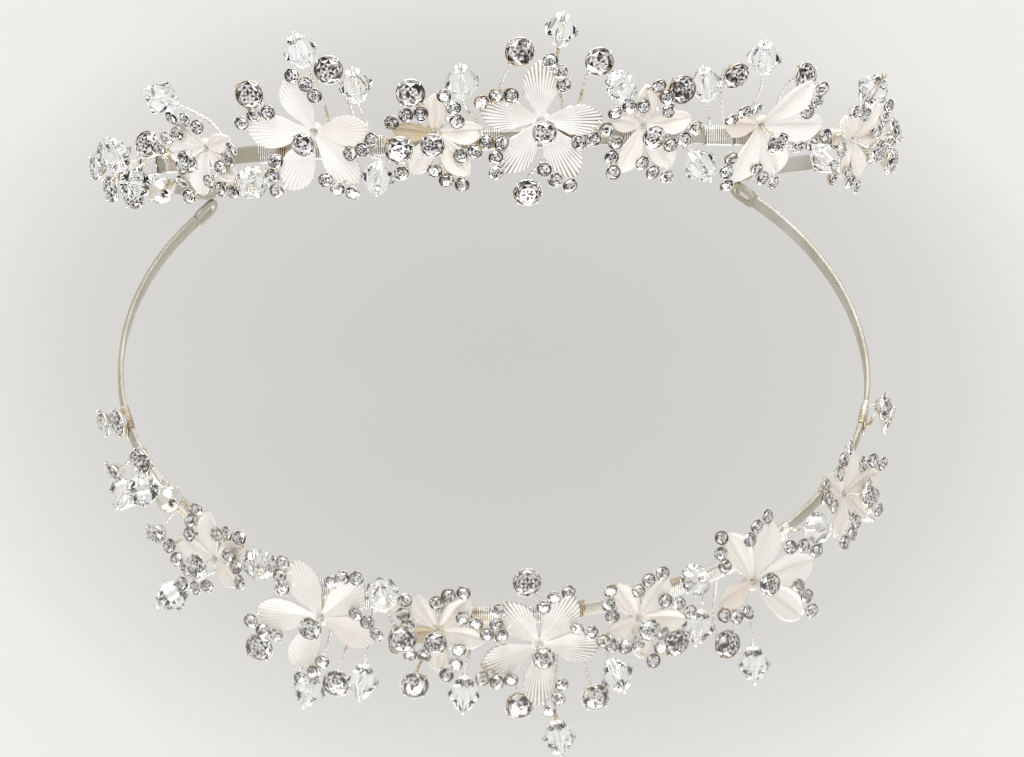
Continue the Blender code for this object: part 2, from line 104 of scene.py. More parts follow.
# stones, by their size across the girdle, and beads
CHATON = 5.3 * MM
CENTRE_CHATON = 4.4 * MM
END_CHATON = 4.9 * MM
SMALL_STONE = 2.75 * MM
STONE_GAP = 0.3 * MM               # from the rim of a cup to its CAD stone
END_TABLE = 0.17                   # height of an end stone's table over its rim, in sizes
BEAD_RADIUS = 3.2 * MM
BEAD_END_RADIUS = 1.3 * MM
BEAD_LENGTH = 5.8 * MM
BEAD_BORE = 0.5 * MM
BEAD_BELT = 0.03                   # half height of the belt round a bead, in half lengths
BEAD_SIDES = 8
BEAD_RUN = BEAD_LENGTH / 2 + 0.9 * MM   # from a bead's middle back to where its stem's twist ends
BEAD_RUN_IN = 0.3 * MM             # bare wire before a bead
BEAD_RUN_OUT = 0.5 * MM            # and past it
KNOT_PLACE = 0.55 * MM             # from a bead's end to the middle of the knot there
KNOT_RADIUS = 0.5 * MM

# cups and prongs, in sizes of the stone: (radius, height over the girdle)
CUP_OUTSIDE = ((0.12, -0.36), (0.24, -0.34), (0.45, -0.10), (0.51, -0.03), (0.51, 0.03))
CUP_WALL = 0.025
CUP_RUN = 0.44                     # from the girdle back to where the stem's curve ends
CUP_FOOT = 0.34                    # and to the end of the straight piece after it
PRONGS = 4
PRONG_PATH = ((0.515, -0.06), (0.525, 0.06), (0.49, 0.12), (0.43, 0.145))
PRONG_RADII = (0.035, 0.04, 0.035, 0.025)
PRONG_SIDES = 6
LATHE_SIDES = 20

# corners of a cut stone from the girdle up to its table, in sizes: (radius, height, shift)
STONE_TIERS = ((0.485, -0.03, 0.0), (0.485, 0.04, 0.0), (0.40, 0.11, 0.5), (0.28, 0.165, 0.0),
               (0.15, 0.170, 0.5))
GIRDLE_TIERS = 1
STONE_TABLE = 0.175                # height of the middle of the table
STONE_POINT = -0.28                # and of the point underneath
LARGE_FOLDS = 8                    # facets round a large stone
SMALL_FOLDS = 6
# share of facets painted dark, as painted reflection
SMALL_DARK = 0.38
CENTRE_DARK = 0.45
CHATON_DARK = 0.6
END_DARK = 0.4
ODD_DARK = 2                       # times that share, for every odd facet
EVEN_DARK = 0.3                    # and for every even one
# painted reflection: tone of a facet, from dark to light; the lightest ones may flash in colour, as a painted
# glint
GIRDLE_TONE = -0.5
UNDER_TONE = 0.3
DARK_TONES = (0.0, 0.42)
LIGHT_TONES = (0.50, 0.90)
FLASH_TONES = (1.0, 1.1)
FLASH_SHARE = 0.03

# flowers
STAMEN = 6.0 * MM                  # from a flower's throat to the girdle of its centre stone
CENTRE_RUN = STAMEN + 1.6 * MM     # from that girdle back to where the stem's curve ends
PETAL_CONE = 7.5
PETAL_ROWS = 34
PETAL_COLUMNS = 48
PETAL_THICKNESS = 0.42 * MM
GROOVED_WIDTH = 0.25               # half width at the widest place, in petal lengths
SPOON_WIDTH = 0.22
GROOVES = 6                        # grooves across half a petal
GROOVE_FAN = 0.42                  # across over along, where the outermost groove runs
GROOVE_DEPTH = 0.05 * MM
SPOON_RIM = 0.25 * MM              # how far the rim of a smooth petal stands up
# the cups of a petal, from the tip inwards: (mm past the tip, mm clockwise from the petal's middle line)
BUD_SPOTS = ((0.4, 1.7), (-1.9, 3.4), (-4.5, 4.0))
BUD_LIFT = 1.2 * MM
BUD_NOD = 0.25                     # how much a small stone may look aside
STRUT_RADIUS = STRAND * 1.6        # the soldered strut from a petal to a cup
STRUT_ROOT = 0.9                   # where it may stand at most, in petal lengths
STRUT_DROP = 0.7 * MM              # how far below the petal it starts
STRUT_END = 0.3                    # from the stone's girdle to its end, in stone sizes
STRUT_SIDES = 8
PETAL_RISE = 1.55                  # powers that shape a petal's width towards the claw
PETAL_FALL = 0.92                  # and towards the tip
CLAW_WIDTH = 0.055                 # half width of the claw, in petal lengths
PETAL_ROOT = 0.05                  # where a petal starts, in petal lengths
PETAL_LEAN = 0.03                  # how much a petal's tip may lean, in petal lengths
PETAL_ARCH = (0.035, 0.10, 0.45)   # height, fall to both ends and place of the arch along a petal
GROOVED_HOLLOW = 0.16              # how hollow a petal is across, in its half widths
SPOON_HOLLOW = 0.30
SPOON_KEEL = 3.5                   # half widths over the width of a smooth petal's middle crease
RIM_START = 0.78                   # where the rim of a smooth petal starts, in its half widths
RIM_WIDTH = 0.22
# the raised ring round a flower's throat, in mm: (radius, height)
HEART = ((0.6, 0.1), (1.1, 0.5), (1.6, 0.2), (1.9, -0.25), (1.2, -0.5), (0.6, -0.5))

# how deep the petals of a flower are grooved; a flower that is not named has smooth, hollow ones
GROOVED = {"flower_2": 0.35, "flower_4": 1.0}
# (angle, length in mm, tint) of each petal, clockwise; tint 0 is white, 1 pink and 2 golden tan; the golden tan is
# painted shade, on a petal that faces down
FLOWERS = {
    "flower_1": ((180, 8.3, 0.0), (129, 7.5, 0.3), (14, 7.0, 0.6), (-49, 8.6, 0.6), (-116, 9.3, 0.0)),
    "flower_2": ((171, 12.2, 0.0), (102, 11.4, 0.0), (2, 11.2, 0.4), (-54, 12.0, 0.0), (-123, 12.2, 0.0)),
    # painted shade: the first petal here is tinted 1.7, golden tan, because it faces down into shade
    "flower_3": ((168, 7.4, 1.7), (85, 7.6, 0.7), (3, 8.7, 0.2), (-55, 9.4, 0.6), (-124, 8.4, 0.3)),
    "flower_4": ((164, 11.4, 0.0), (92, 11.8, 0.0), (3, 11.0, 0.0), (-58, 12.0, 0.0), (-125, 11.3, 0.0)),
    "flower_5": ((167, 6.5, 0.6), (93, 7.8, 0.7), (12, 8.7, 0.6), (-52, 9.5, 0.2), (-115, 9.1, 0.4)),
    "flower_6": ((175, 9.0, 1.0), (58, 12.0, 0.2), (6, 12.6, 0.0), (-53, 11.7, 0.1), (-104, 11.6, 0.2)),
    "flower_7": ((150, 8.5, 0.6), (68, 8.5, 0.7), (14, 9.8, 0.7), (-54, 8.6, 0.6), (-120, 8.6, 0.5)),
}
# what sits on each end of a wire, as in the CAD model; an end stone is named by its wire
WIRES = {
    "flower_wire_1": ("flower_1", "bead_3"),
    "flower_wire_2": ("flower_2", "bead_5"),
    "flower_wire_3": ("flower_3", "chaton_3"),
    "flower_wire_4": ("flower_4", "chaton_7"),
    "flower_wire_5": ("flower_5", "bead_10"),
    "flower_wire_6": ("flower_6", "bead_13"),
    "flower_wire_7": ("flower_7", "bead_15"),
    "spray_wire_1": ("end", "end"),
    "spray_wire_2": ("end", "end"),
    "spray_wire_3": ("bead_2", "bead_1"),
    "spray_wire_4": ("end", "end"),
    "spray_wire_5": ("chaton_1", "bead_4"),
    "spray_wire_6": ("chaton_2", "bead_6"),
    "spray_wire_7": ("bead_7", "chaton_4"),
    "spray_wire_8": ("bead_8", "chaton_5"),
    "spray_wire_9": ("bead_9", "chaton_6"),
    "spray_wire_10": ("chaton_8", "bead_11"),
    "spray_wire_11": ("bead_12", "chaton_9"),
    "spray_wire_12": ("chaton_10", "bead_14"),
    "spray_wire_13": ("end", "end"),
}

# stage
BACKDROP_WAY = (0.089, 0.916, 0.391)   # from the tiara to the middle of the grey backdrop
WORLD_STRENGTH = 0.85
FLOOR_SIZE = 4.0
FLOOR_METALLIC = 0.95
FLOOR_ROUGHNESS = 0.018
FLOOR_SHADE_PLACE = (0.0, -0.035, 0.0)     # middle of the greyer oval of painted shade on the floor
FLOOR_SHADE_SIZE = (0.230, 0.390, 1.0)
CAMERA_PLACE = (-0.1009, -1.0678, 0.4116)
CAMERA_TURN = (66.99, 0, -5.57)            # degrees
CAMERA_LENS = 215.5                        # mm, as is the sensor
CAMERA_SENSOR = 36.0
# name: (place, size, power); each one looks at the origin
LIGHTS = {"key": ((-0.05, -0.55, 0.95), 1.3, 10), "back": ((0.3, 0.5, 1.1), 0.8, 6)}
CHATON_COUNT = 10
BEAD_COUNT = 15

dice = random.Random(7)


# ---------------------------------------------------------------- places from the frame

def band_frame(angle):
    """Point on the middle of the strip, the way along it to the right, and the way out of it."""
    turn = math.radians(angle)
    depth = BAND_FRONT_DEPTH if abs(angle) < 90 else BAND_BACK_DEPTH
    point = Vector((BAND_HALF_WIDTH * math.sin(turn), -depth * math.cos(turn), 0))
    along = Vector((BAND_HALF_WIDTH * math.cos(turn), depth * math.sin(turn), 0)).normalized()
    return point, along, Vector((along.y, -along.x, 0))


def facing(direction, origin):
    """Matrix that puts local +Z along the direction, local +Y as far up the band's own up as it goes."""
    side = BAND_UP.cross(direction).normalized()
    up = direction.cross(side)
    return Matrix.Translation(origin) @ Matrix((side, up, direction)).transposed().to_4x4()


def largest_flats(name, count):
    """Middle and outward normal of the largest flat faces of a CAD node."""
    obj = frame["nodes"][name]
    mesh = obj.data
    mesh.calc_loop_triangles()
    flats = {}
    for triangle in mesh.loop_triangles:
        corners = [mesh.vertices[i].co for i in triangle.vertices]
        normal = triangle.normal
        middle = sum(corners, Vector()) / 3
        key = (*(round(n, 2) for n in normal), round(normal.dot(middle) / (0.05 * MM)))
        area, weighted, facing_way = flats.get(key, (0.0, Vector(), normal.copy()))
        flats[key] = (area + triangle.area, weighted + middle * triangle.area, facing_way)
    best = sorted(flats.values(), key=lambda flat: -flat[0])[:count]
    return [(weighted / area, normal) for area, weighted, normal in best]


def stone_seat(name):
    """Middle of the rim that a CAD stone sits on, and the way that the stone looks."""
    middle, normal = largest_flats(name, 1)[0]
    return middle + normal * STONE_GAP, -normal


def bead_axis(name):
    joint = next(j for j in frame["joints"] if j["child"] == name)
    return Vector(joint["pos_m"]), Vector(joint["axis"]).normalized()


def coil_angle(name):
    """Angle on the band of the middle of a CAD wire's coil."""
    angles = []
    for vertex in frame["nodes"][name].data.vertices:
        spot = FLAT @ vertex.co
        angle = math.degrees(math.atan2(spot.x / BAND_HALF_WIDTH, -spot.y / BAND_FRONT_DEPTH))
        point, _, outward = band_frame(angle)
        if abs((spot - point).dot(outward)) < COIL_REACH[0] and abs(spot.z) < COIL_REACH[1]:
            angles.append(angle)
    return (min(angles) + max(angles)) / 2


def coil_turns(name):
    """Whole turns of a wire's winding: fewer where the next wire is near."""
    spot = band_frame(COIL_ANGLES[name])[0]
    others = [angle for other, angle in COIL_ANGLES.items() if other != name]
    room = min((band_frame(angle)[0] - spot).length for angle in others)
    return min(COIL_TURNS, int(room / COIL_PITCH) - 1)


# ---------------------------------------------------------------- mesh helpers

def finish_piece(name, bm, material, body, smooth=True, replaced=None):
    mesh = bpy.data.meshes.new(name)
    bmesh.ops.recalc_face_normals(bm, faces=bm.faces)
    bm.to_mesh(mesh)
    bm.free()
    if smooth:
        mesh.shade_smooth()
    mesh.materials.append(material)
    obj = bpy.data.objects.new(name, mesh)
    bpy.context.scene.collection.objects.link(obj)
    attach(obj, body)
    if replaced:
        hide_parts(replaced)
    return obj


def bridge(bm, first, second):
    """Faces between two rings of the same number of vertices."""
    count = len(first)
    for i in range(count):
        j = (i + 1) % count
        bm.faces.new((first[i], first[j], second[j], second[i]))


def tube(bm, points, radii, sides):
    """A round tube along a path, closed at its ends, with one radius for each point."""
    tangents = []
    for index in range(len(points)):
        before = points[max(index - 1, 0)]
        after = points[min(index + 1, len(points) - 1)]
        tangents.append((after - before).normalized())
    normal = tangents[0].orthogonal().normalized()
    rings = []
    for index, (point, radius) in enumerate(zip(points, radii)):
        if index:
            turn = tangents[index - 1].rotation_difference(tangents[index])
            normal = turn @ normal
        normal = (normal - tangents[index] * normal.dot(tangents[index])).normalized()
        side = tangents[index].cross(normal)
        ring = []
        for step in range(sides):
            angle = 2 * math.pi * step / sides
            ring.append(bm.verts.new(point + (normal * math.cos(angle) + side * math.sin(angle)) * radius))
        rings.append(ring)
    for first, second in zip(rings, rings[1:]):
        bridge(bm, first, second)
    bm.faces.new(rings[0][::-1])
    bm.faces.new(rings[-1])


def lathe(bm, profile, matrix):
    """A turned shape: (radius, height) along its outside and back along its inside, closed on itself."""
    rings = []
    for radius, height in profile:
        ring = []
        for step in range(LATHE_SIDES):
            angle = 2 * math.pi * step / LATHE_SIDES
            spot = Vector((radius * math.cos(angle), radius * math.sin(angle), height))
            ring.append(bm.verts.new(matrix @ spot))
        rings.append(ring)
    for first, second in zip(rings, rings[1:]):
        bridge(bm, first, second)
    bridge(bm, rings[-1], rings[0])


# ---------------------------------------------------------------- materials

def new_material(name):
    material = bpy.data.materials.new(name)
    material.use_nodes = True
    return material, material.node_tree, material.node_tree.nodes["Principled BSDF"]


def noise(tree, scale, detail=3.0, coordinates=None, stretch=None):
    texture = tree.nodes.new("ShaderNodeTexNoise")
    texture.inputs["Scale"].default_value = scale
    texture.inputs["Detail"].default_value = detail
    source = coordinates or tree.nodes.new("ShaderNodeTexCoord").outputs["Object"]
    if stretch:
        mapping = tree.nodes.new("ShaderNodeMapping")
        mapping.inputs["Scale"].default_value = stretch
        tree.links.new(source, mapping.inputs["Vector"])
        source = mapping.outputs["Vector"]
    tree.links.new(source, texture.inputs["Vector"])
    return texture.outputs["Fac"]


def ramp(tree, factor, stops, interpolation="LINEAR"):
    node = tree.nodes.new("ShaderNodeValToRGB")
    node.color_ramp.interpolation = interpolation
    elements = node.color_ramp.elements
    while len(elements) < len(stops):
        elements.new(0.5)
    for element, (place, colour) in zip(elements, stops):
        element.position = place
        element.color = (*colour, 1.0)
    tree.links.new(factor, node.inputs["Fac"])
    return node.outputs["Color"]


def attribute(tree, name):
    node = tree.nodes.new("ShaderNodeAttribute")
    node.attribute_name = name
    return node


def spread(tree, factor, low, high):
    node = tree.nodes.new("ShaderNodeMapRange")
    node.inputs["To Min"].default_value = low
    node.inputs["To Max"].default_value = high
    tree.links.new(factor, node.inputs["Value"])
    return node.outputs["Result"]


def bump(tree, shader, height, strength, distance):
    node = tree.nodes.new("ShaderNodeBump")
    node.inputs["Strength"].default_value = strength
    node.inputs["Distance"].default_value = distance
    tree.links.new(height, node.inputs["Height"])
    tree.links.new(node.outputs["Normal"], shader.inputs["Normal"])


def math_node(tree, operation, first, second=None, third=None):
    """A maths node; each of its inputs is a number or the output of another node."""
    node = tree.nodes.new("ShaderNodeMath")
    node.operation = operation
    for socket, value in zip(node.inputs, (first, second, third)):
        if isinstance(value, (int, float)):
            socket.default_value = value
        elif value is not None:
            tree.links.new(value, socket)
    return node.outputs[0]


def satin_silver():
    """Silver plate rubbed matte, with khaki and grey patches in its colour."""
    material, tree, shader = new_material("satin_silver")
    colour = ramp(tree, noise(tree, 90.0, 4.0), (
        (0.30, (0.42, 0.385, 0.29)), (0.50, (0.48, 0.465, 0.39)), (0.70, (0.57, 0.56, 0.51))))
    tree.links.new(colour, shader.inputs["Base Color"])
    shader.inputs["Metallic"].default_value = 0.85
    tree.links.new(spread(tree, noise(tree, 700.0), 0.34, 0.52), shader.inputs["Roughness"])
    bump(tree, shader, noise(tree, 2600.0, 2.0), 0.25, 0.02 * MM)
    return material


def bright_silver():
    """Plated wire and cups, bright, with the copper under the plate showing where it is worn."""
    material, tree, shader = new_material("silver_wire")
    colour = ramp(tree, noise(tree, 160.0, 4.0), (
        (0.34, (0.50, 0.38, 0.25)), (0.42, (0.72, 0.65, 0.53)), (0.50, (0.88, 0.87, 0.84))))
    tree.links.new(colour, shader.inputs["Base Color"])
    shader.inputs["Metallic"].default_value = 1.0
    tree.links.new(spread(tree, noise(tree, 900.0), 0.10, 0.26), shader.inputs["Roughness"])
    bump(tree, shader, noise(tree, 3200.0, 2.0), 0.12, 0.01 * MM)
    return material


def pearl_petal():
    """Pearl enamel over a casting: white to pink, or golden tan as painted shade, with painted shade in the
    grooves of the grooved petals and fine bumped lines.
    """
    material, tree, shader = new_material("pearl_petal")
    parts = tree.nodes.new("ShaderNodeSeparateXYZ")
    tree.links.new(attribute(tree, "petal").outputs["Vector"], parts.inputs["Vector"])
    fan, share, blush_and_shade = parts.outputs
    cloud = noise(tree, 160.0, 3.0)
    blush_and_shade = math_node(tree, "MULTIPLY_ADD", cloud, 0.12, math_node(tree, "MULTIPLY", blush_and_shade, 0.5))
    # painted shade: the top of this ramp is golden tan, which stands for shade on a petal that faces down; white
    # to pink below it is the enamel's own tint
    colour = ramp(tree, blush_and_shade, (
        (0.05, (0.88, 0.87, 0.84)), (0.30, (0.87, 0.83, 0.78)), (0.60, (0.86, 0.77, 0.70)),
        (0.95, (0.62, 0.50, 0.32))))
    # painted shade: the colour goes dark brown in the troughs of the grooves, more towards a petal's tip and only
    # on grooved petals, standing in for shade in the grooves
    wave = math_node(tree, "COSINE", math_node(tree, "MULTIPLY", fan, 2 * math.pi * GROOVES))
    depth = math_node(tree, "MULTIPLY_ADD", wave, -0.5, 0.5)
    sharp = math_node(tree, "POWER", depth, 1.8)
    outer = math_node(tree, "MULTIPLY", sharp, spread(tree, share, 0.1, 1.3))
    broken = math_node(tree, "MULTIPLY", outer, spread(tree, noise(tree, 420.0), 0.0, 1.6))
    groove_shade = math_node(tree, "MULTIPLY", broken, attribute(tree, "grooved").outputs["Fac"])
    mix = tree.nodes.new("ShaderNodeMix")
    mix.data_type = "RGBA"
    tree.links.new(math_node(tree, "MULTIPLY", groove_shade, 0.95), mix.inputs[0])
    tree.links.new(colour, mix.inputs[6])
    mix.inputs[7].default_value = (0.22, 0.19, 0.16, 1)
    tree.links.new(mix.outputs[2], shader.inputs["Base Color"])
    shader.inputs["Metallic"].default_value = 0.1
    shader.inputs["Coat Weight"].default_value = 0.35
    shader.inputs["Coat Roughness"].default_value = 0.22
    shader.inputs["Sheen Weight"].default_value = 0.15
    tree.links.new(spread(tree, cloud, 0.34, 0.48), shader.inputs["Roughness"])
    comb = tree.nodes.new("ShaderNodeCombineXYZ")
    tree.links.new(fan, comb.inputs["X"])
    tree.links.new(share, comb.inputs["Y"])
    lines = noise(tree, 1.0, 2.0, comb.outputs["Vector"], (26.0, 1.2, 1.0))
    bump(tree, shader, lines, 0.30, 0.06 * MM)
    return material


def foiled_glass():
    """Foil-backed cut glass with painted reflection: each facet is painted a bright or a dark tone over the
    metal's own mirror reflection, broken into small cells, with rare painted glints of violet and gold.
    """
    material, tree, shader = new_material("foiled_glass")
    tone = attribute(tree, "tone").outputs["Fac"]
    # painted reflection: small cells break each facet's painted tone into brighter and darker pieces
    cells = tree.nodes.new("ShaderNodeTexVoronoi")
    cells.inputs["Scale"].default_value = 1600.0
    tree.links.new(tree.nodes.new("ShaderNodeTexCoord").outputs["Object"], cells.inputs["Vector"])
    split = tree.nodes.new("ShaderNodeSeparateColor")
    tree.links.new(cells.outputs["Color"], split.inputs["Color"])
    broken = math_node(tree, "MULTIPLY_ADD", split.outputs[0], 0.3, math_node(tree, "MULTIPLY", tone, 0.75))
    colour = ramp(tree, broken, (
        (0.00, (0.012, 0.011, 0.012)), (0.26, (0.07, 0.062, 0.062)), (0.34, (0.24, 0.215, 0.21)),
        (0.42, (0.46, 0.43, 0.42)), (0.50, (0.74, 0.72, 0.71)), (0.60, (0.99, 0.99, 0.98)),
        (0.96, (0.52, 0.50, 0.88)), (0.985, (0.90, 0.76, 0.46))), "CONSTANT")
    tree.links.new(colour, shader.inputs["Base Color"])
    shader.inputs["Metallic"].default_value = 1.0
    shader.inputs["Coat Weight"].default_value = 1.0
    shader.inputs["Coat Roughness"].default_value = 0.02
    tree.links.new(spread(tree, noise(tree, 1500.0), 0.03, 0.10), shader.inputs["Roughness"])
    return material


def clear_glass():
    material, tree, shader = new_material("clear_glass")
    tint = ramp(tree, noise(tree, 300.0), ((0.3, (0.93, 0.95, 0.96)), (0.7, (1.0, 1.0, 1.0))))
    tree.links.new(tint, shader.inputs["Base Color"])
    shader.inputs["Transmission Weight"].default_value = 1.0
    shader.inputs["IOR"].default_value = 1.54
    tree.links.new(spread(tree, noise(tree, 1200.0), 0.0, 0.03), shader.inputs["Roughness"])
    return material


# ---------------------------------------------------------------- pieces

def eyelet_outline(length, height):
    """Corners of a long round: (along, up) from its middle."""
    radius = height / 2
    reach = length / 2 - radius
    points = []
    for side, start in ((1, -90), (-1, 90)):
        for step in range(EYELET_STEPS + 1):
            turn = math.radians(start + 180 * step / EYELET_STEPS)
            points.append((side * reach + radius * math.cos(turn), radius * math.sin(turn)))
    return points


def make_band(material):
    """Strip with rounded edges that runs into a flattened, pierced eyelet at each end."""
    bm = bmesh.new()
    half_t = BAND_THICKNESS / 2
    half_h = BAND_HEIGHT / 2
    corner = STRIP_CORNER
    section = []
    for cx, cz, start in ((1, 1, 0), (-1, 1, 90), (-1, -1, 180), (1, -1, 270)):
        for step in range(STRIP_CORNER_STEPS + 1):
            turn = math.radians(start + 90 * step / STRIP_CORNER_STEPS)
            section.append((cx * (half_t - corner) + corner * math.cos(turn),
                            cz * (half_h - corner) + corner * math.sin(turn)))
    rings = []
    for index in range(STRIP_STEPS + 1):
        angle = -BAND_END + 2 * BAND_END * index / STRIP_STEPS
        point, _, outward = band_frame(angle)
        rings.append([bm.verts.new(WORN @ (point + outward * x + Vector((0, 0, z)))) for x, z in section])
    for first, second in zip(rings, rings[1:]):
        bridge(bm, first, second)
    bm.faces.new(rings[0][::-1])
    bm.faces.new(rings[-1])
    for side in (-1, 1):
        point, along, outward = band_frame(side * BAND_END)
        middle = point + along * side * (EYELET_LENGTH / 2 - BAND_THICKNESS)
        outer = eyelet_outline(EYELET_LENGTH, EYELET_HEIGHT)
        inner = eyelet_outline(*EYELET_HOLE)
        bevel = EYELET_BEVEL
        loops = []
        rim = ((outer, -bevel, half_t), (outer, 0, half_t - bevel),
               (outer, 0, bevel - half_t), (outer, -bevel, -half_t),
               (inner, bevel, -half_t), (inner, 0, bevel - half_t),
               (inner, 0, half_t - bevel), (inner, bevel, half_t))
        for ring, grow, depth in rim:
            loop = []
            for x, z in ring:
                scale = 1 + grow / math.hypot(x, z)
                spot = middle + along * x * scale + Vector((0, 0, z * scale)) + outward * depth
                loop.append(bm.verts.new(WORN @ spot))
            loops.append(loop)
        for first, second in zip(loops, loops[1:] + loops[:1]):
            bridge(bm, first, second)
    finish_piece("headband_strip", bm, material, "root", replaced="headband")


def stem_path(start, leave, end, arrive, count):
    """Points of a Bezier curve that leaves one way and arrives another."""
    reach = (end - start).length * STEM_HANDLE
    handle_a = start + leave * reach
    handle_b = end - arrive * reach
    points = []
    for step in range(count + 1):
        t = step / count
        a = start.lerp(handle_a, t)
        b = handle_a.lerp(handle_b, t)
        c = handle_b.lerp(end, t)
        points.append(a.lerp(b, t).lerp(b.lerp(c, t), t))
    return points


def twisted_pair(bm, path, tail):
    """Two strands twisted round a path; the second one stops at the end and the first runs on."""
    lengths = [0.0]
    for a, b in zip(path, path[1:]):
        lengths.append(lengths[-1] + (b - a).length)
    steps = max(TWIST_STEPS_LEAST, int(lengths[-1] / (TWIST_PITCH / TWIST_STEPS)))
    for strand in (0, 1):
        points = []
        normal = None
        for step in range(steps + 1):
            where = lengths[-1] * step / steps
            index = max(i for i, value in enumerate(lengths) if value <= where + 1e-12)
            index = min(index, len(path) - 2)
            part = (where - lengths[index]) / (lengths[index + 1] - lengths[index])
            spot = path[index].lerp(path[index + 1], part)
            tangent = (path[index + 1] - path[index]).normalized()
            if normal is None:
                normal = tangent.orthogonal().normalized()
            normal = (normal - tangent * normal.dot(tangent)).normalized()
            turn = 2 * math.pi * where / TWIST_PITCH + math.pi * strand
            offset = normal * math.cos(turn) + tangent.cross(normal) * math.sin(turn)
            points.append(spot + offset * STRAND * TWIST_CLOSENESS)
        if strand == 0 and tail:
            points += tail
        tube(bm, points, [STRAND] * len(points), STRAND_SIDES)


def cup(bm, seat, axis, size):
    """Thin cup with a flat foot, a rim round the girdle and prongs folded over the stone."""
    matrix = facing(axis, seat)
    wall = CUP_WALL * size
    outer = [(radius * size, height * size) for radius, height in CUP_OUTSIDE]
    inner = [(radius - wall, height) for radius, height in reversed(outer[1:])]
    lathe(bm, outer + inner, matrix)
    for index in range(PRONGS):
        turn = Matrix.Rotation(2 * math.pi * (index + 0.5) / PRONGS, 4, "Z")
        points = [matrix @ turn @ Vector((x * size, 0, z * size)) for x, z in PRONG_PATH]
        tube(bm, points, [radius * size for radius in PRONG_RADII], PRONG_SIDES)


def wire_end(name, wire, index):
    """Where a wire's run-up ends, the way it points, and what it carries there."""
    if name.startswith("flower_"):
        seat, axis = stone_seat("centre_stone_" + name[-1])
        return seat, axis, CENTRE_CHATON, CENTRE_RUN
    if name.startswith("bead_"):
        middle, axis = bead_axis(name)
        return middle, axis, None, BEAD_RUN
    if name == "end":
        seat, axis = END_SEATS[wire][index]
        return seat, axis, END_CHATON, CUP_RUN * END_CHATON
    seat, axis = stone_seat(name)
    return seat, axis, CHATON, CUP_RUN * CHATON


def end_seats(wire):
    """Seats of the two stones that are one solid with their CAD wire, the first end first."""
    seats = [(middle - normal * END_TABLE * END_CHATON, normal) for middle, normal in largest_flats(wire, 2)]
    return sorted(seats, key=lambda seat: -(FLAT @ seat[0]).z)


def make_wire(name, ends, material):
    """One wire: its turns round the band, two twisted stems, and a cup or a stop on each."""
    bm = bmesh.new()
    point, along, outward = band_frame(COIL_ANGLES[name])
    up = Vector((0, 0, 1))
    half_t = BAND_THICKNESS / 2 + STRAND
    half_h = BAND_HEIGHT / 2 + STRAND
    coil = []
    lead = STEM_LEAD
    steps = coil_turns(name) * COIL_STEPS
    for step in range(steps + 1):
        turn = 2 * math.pi * step / COIL_STEPS
        slide = (step - steps / 2) / COIL_STEPS * COIL_PITCH
        out = max(-half_t, min(half_t, COIL_PRESS[0] * half_t * math.cos(turn)))
        height = max(-half_h, min(half_h, COIL_PRESS[1] * half_h * math.sin(turn)))
        coil.append(WORN @ (point + along * slide + outward * out + up * height))
    tube(bm, coil, [STRAND] * len(coil), STRAND_SIDES)
    for index, end in enumerate(ends):
        tip, axis, size, run = wire_end(end, name, index)
        base = tip - axis * run
        local = FLAT @ base
        rise = (FLAT @ tip - point).z
        reach = (FLAT @ tip - point).dot(outward)
        slide = along * STEM_SPACING / 2 * (-1 if index == 0 else 1)
        if rise > SOFT_RISE * reach or rise > STEEP_RISE:
            start, leave = outward * (-lead if index == 0 else lead) + up * half_h, up
        elif rise < SOFT_FALL * reach:
            start, leave = outward * lead - up * half_h, (outward * FALL_LEAN - up).normalized()
        else:
            start, leave = outward * half_t + up * (lead if index == 0 else -lead), outward
        arrive = FLAT.to_3x3() @ axis
        if end.startswith("chaton_"):
            lift = STEM_BEND * max(-1, min(1, (FLAT @ tip).z / STEEP_RISE))
            arrive = (arrive + Vector((0, 0, lift))).normalized()
        path = stem_path(point + start + slide, leave, local, arrive, STEM_POINTS)
        path = [WORN @ spot for spot in path]
        if size is None:
            half = BEAD_LENGTH / 2
            tail = [tip - axis * (half + BEAD_RUN_IN), tip, tip + axis * (half + BEAD_RUN_OUT)]
            twisted_pair(bm, path, tail)
            for shift in (-half - KNOT_PLACE, half + KNOT_PLACE):
                ball = Matrix.Translation(tip + axis * shift)
                bmesh.ops.create_uvsphere(bm, u_segments=12, v_segments=8, radius=KNOT_RADIUS, matrix=ball)
        else:
            twisted_pair(bm, path + [tip - axis * CUP_FOOT * size], None)
            cup(bm, tip, axis, size)
    finish_piece(name + "_strands", bm, material, "root", replaced=name)


def ring_faces(bm, first, second, shift_a, shift_b):
    """Facets between two rings of corners, of which either may be turned by half a step."""
    folds = len(first)
    faces = []
    for i in range(folds):
        j = (i + 1) % folds
        if shift_a == shift_b:
            faces.append(bm.faces.new((first[i], first[j], second[j], second[i])))
        elif shift_b > shift_a:
            faces.append(bm.faces.new((first[i], first[j], second[i])))
            faces.append(bm.faces.new((first[j], second[j], second[i])))
        else:
            faces.append(bm.faces.new((first[i], first[j], second[j])))
            faces.append(bm.faces.new((first[i], second[j], second[i])))
    return faces


def corner_ring(bm, matrix, radius, height, sides, shift):
    ring = []
    for step in range(sides):
        turn = 2 * math.pi * (step + shift) / sides
        ring.append(bm.verts.new(matrix @ Vector((radius * math.cos(turn), radius * math.sin(turn), height))))
    return ring


